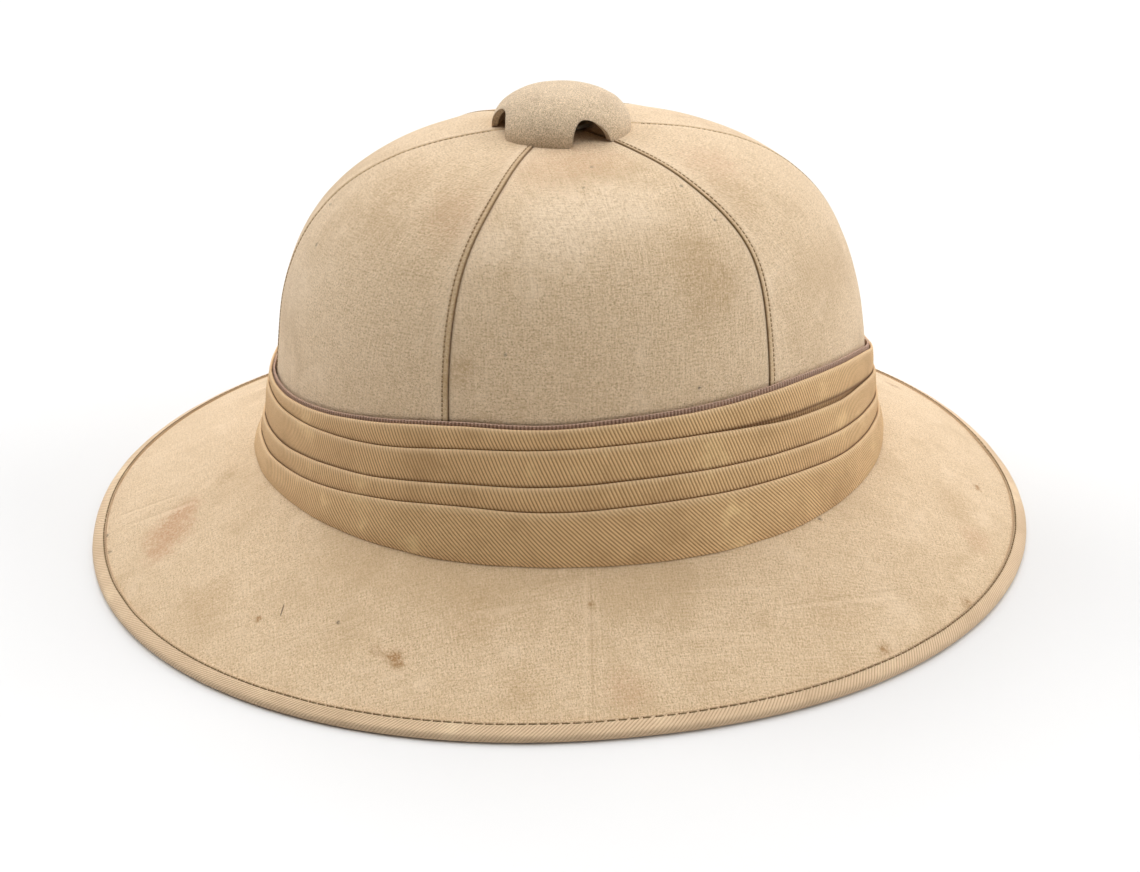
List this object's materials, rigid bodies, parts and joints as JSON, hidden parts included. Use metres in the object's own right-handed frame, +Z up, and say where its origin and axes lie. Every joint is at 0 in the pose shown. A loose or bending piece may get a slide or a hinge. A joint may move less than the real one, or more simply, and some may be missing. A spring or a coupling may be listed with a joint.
{
  "type": "pith helmet",
  "caption": "Cloth-covered pith helmet: panelled crown, sloping brim with a bound edge, pleated band with an edge tape, and a domed ventilator cap with arched openings.",
  "frame": {"origin": "on the surface that the brim's edge rests on, below the middle of the brim's box", "axes": "+Z up through the crown, -Y towards the helmet's front, +X towards the wearer's left side"},
  "size_m": [0.3002, 0.35, 0.158],
  "materials": {
    "cream_cotton": "matt plain-woven cotton",
    "binding_twill": "matt cotton twill",
    "tan_twill": "matt cotton twill",
    "mauve_tape": "ribbed tape",
    "grey_khaki_cloth": "matt speckled cloth",
    "dull_post": "dull paint"
  },
  "bodies": {
    "root": {"crown_gore_1": "cream_cotton", "crown_gore_2": "cream_cotton", "crown_gore_3": "cream_cotton", "crown_gore_4": "cream_cotton", "crown_gore_5": "cream_cotton", "crown_gore_6": "cream_cotton", "brim": "cream_cotton", "brim_binding": "binding_twill", "pugaree": "tan_twill", "edge_tape": "mauve_tape", "ventilator_cap": "grey_khaki_cloth", "ventilator_post": "dull_post"}
  },
  "joints": []
}
